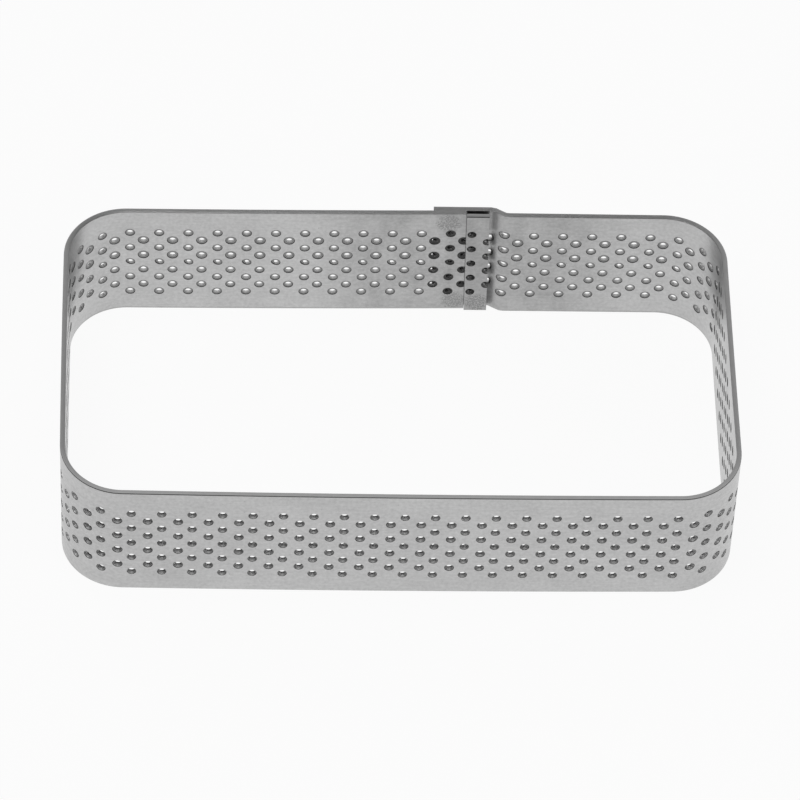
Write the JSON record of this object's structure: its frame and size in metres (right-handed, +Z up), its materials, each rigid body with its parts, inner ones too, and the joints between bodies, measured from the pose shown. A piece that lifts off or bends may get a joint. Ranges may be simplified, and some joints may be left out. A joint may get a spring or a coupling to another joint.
{
  "type": "perforated tart ring",
  "caption": "Rounded-rectangle tart ring bent from one perforated stainless strip, lapped and spot-welded at the back; open above and below, it stands on its edge and shapes a tart shell.",
  "frame": {"origin": "middle of the ring's box, on the plane that its lower edge rests on", "axes": "+X along the longer sides, +Y towards the back wall that holds the lap, +Z up through the opening"},
  "size_m": [0.161, 0.0918, 0.035],
  "materials": {
    "strip_steel": "satin rolled sheet, faint grain along the strip",
    "sliver_steel": "satin rolled sheet with fine handling scratches",
    "weld_steel": "dull fused spot welds"
  },
  "bodies": {
    "root": {"lapped_end": "strip_steel", "back_right_side": "strip_steel", "back_right_corner": "strip_steel", "right_side": "strip_steel", "front_right_corner": "strip_steel", "front_side": "strip_steel", "front_left_corner": "strip_steel", "left_side": "strip_steel", "back_left_corner": "strip_steel", "back_left_side": "strip_steel", "closing_sliver": "sliver_steel", "lower_end_weld": "weld_steel", "upper_end_weld": "weld_steel", "sliver_weld": "weld_steel"}
  },
  "joints": []
}
